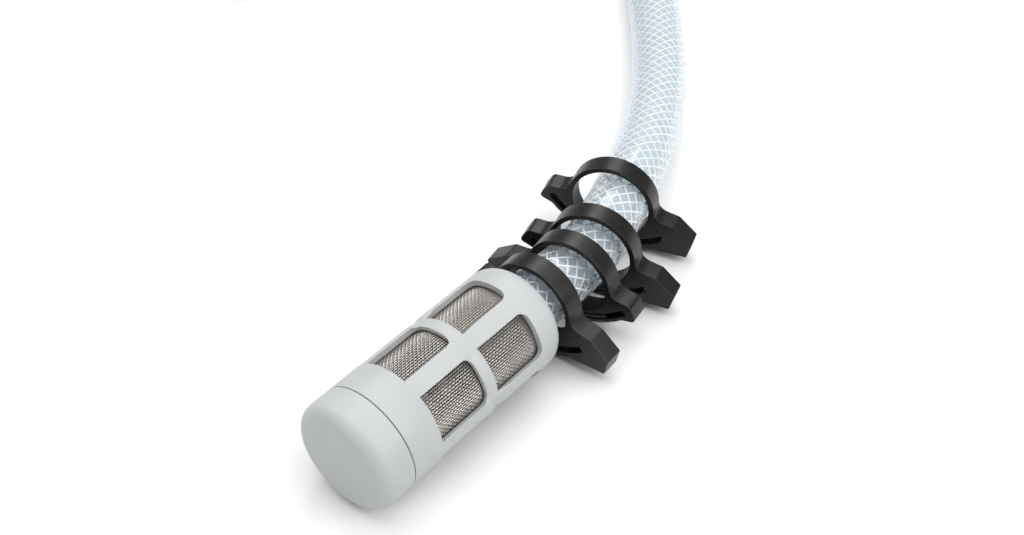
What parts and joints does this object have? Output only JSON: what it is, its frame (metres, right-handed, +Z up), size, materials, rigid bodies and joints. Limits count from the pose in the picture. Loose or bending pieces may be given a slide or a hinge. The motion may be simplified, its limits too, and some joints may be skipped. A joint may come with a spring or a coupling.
{
  "type": "foot valve",
  "caption": "Foot valve: screened plastic strainer with a spring check valve, on reinforced hose, with loose snap-grip hose clips.",
  "frame": {"origin": "on the floor under the middle of the strainer and its clips", "axes": "+X along the strainer from its end cap towards the hose, +Z up"},
  "size_m": [0.3923, 0.4029, 0.034],
  "materials": {
    "grey_plastic": "light grey moulded plastic, satin",
    "steel_cloth": "plain-weave stainless wire cloth",
    "hose_tail": "light grey moulded plastic",
    "rubber": "black nitrile rubber",
    "valve_plastic": "natural white acetal",
    "spring_steel": "bright stainless spring wire",
    "black_nylon": "black moulded nylon, soft sheen",
    "clear_hose": "clear plasticised vinyl over white braid",
    "tie_strap": "black hook-and-loop strap"
  },
  "bodies": {
    "strainer": {"strainer_cage": "grey_plastic", "mesh_screen": "steel_cloth", "hose_tail": "hose_tail", "tail_seal": "rubber", "valve_body": "valve_plastic", "valve_guide": "valve_plastic", "valve_spring": "spring_steel", "hose": "clear_hose", "hose_coil": "clear_hose", "coil_tie": "tie_strap"},
    "cap": {"end_cap": "grey_plastic"},
    "poppet": {"poppet": "valve_plastic", "poppet_seal": "rubber"},
    "clip_1": {"clip_1_outer_jaw": "black_nylon"},
    "clip_1_grip": {"clip_1_inner_jaw": "black_nylon"},
    "clip_2": {"clip_2_inner_jaw": "black_nylon"},
    "clip_2_grip": {"clip_2_outer_jaw": "black_nylon"},
    "clip_3": {"clip_3_outer_jaw": "black_nylon"},
    "clip_3_grip": {"clip_3_inner_jaw": "black_nylon"},
    "clip_4": {"clip_4_outer_jaw": "black_nylon"},
    "clip_4_grip": {"clip_4_inner_jaw": "black_nylon"}
  },
  "joints": [
    {"name": "cap_pull", "type": "slide", "parent": "strainer", "child": "cap", "axis": [-1, 0, 0], "range_m": [0, 0.007]},
    {"name": "poppet_lift", "type": "slide", "parent": "strainer", "child": "poppet", "axis": [1, 0, 0], "range_m": [0, 0.0032], "stiffness_N_per_m": 40, "springref_m": -0.002, "deforming": ["valve_spring"]},
    {"name": "clip_1_slide", "type": "slide", "parent": "strainer", "child": "clip_1", "axis": [0.9455, 0.3256, 0], "range_m": [0, 0.012]},
    {"name": "clip_1_close", "type": "hinge", "parent": "clip_1", "child": "clip_1_grip", "pos_m": [0.05703, 0.00483, 0.0308], "axis": [0.9455, 0.3256, 0], "range_deg": [0, 15], "stiffness_Nm_per_rad": 0.02, "springref_deg": -5.73},
    {"name": "clip_2_slide", "type": "slide", "parent": "strainer", "child": "clip_2", "axis": [0.9613, 0.2756, 0], "range_m": [0, 0.003]},
    {"name": "clip_2_close", "type": "hinge", "parent": "clip_2", "child": "clip_2_grip", "pos_m": [0.03583, -0.00397, 0.0308], "axis": [-0.9613, -0.2756, 0], "range_deg": [0, 15], "stiffness_Nm_per_rad": 0.02, "springref_deg": -5.73},
    {"name": "clip_3_slide", "type": "slide", "parent": "strainer", "child": "clip_3", "axis": [0.9877, 0.1564, 0], "range_m": [-0.001, 0.002]},
    {"name": "clip_3_close", "type": "hinge", "parent": "clip_3", "child": "clip_3_grip", "pos_m": [0.02163, -0.00457, 0.0308], "axis": [-0.9877, -0.1564, 0], "range_deg": [0, 15], "stiffness_Nm_per_rad": 0.02, "springref_deg": -5.73},
    {"name": "clip_4_slide", "type": "slide", "parent": "strainer", "child": "clip_4", "axis": [0.9986, 0.0523, 0], "range_m": [0, 0.002]},
    {"name": "clip_4_close", "type": "hinge", "parent": "clip_4", "child": "clip_4_grip", "pos_m": [0.00663, -0.00347, 0.0308], "axis": [0.9986, 0.0523, 0], "range_deg": [0, 15], "stiffness_Nm_per_rad": 0.02, "springref_deg": -5.73}
  ]
}
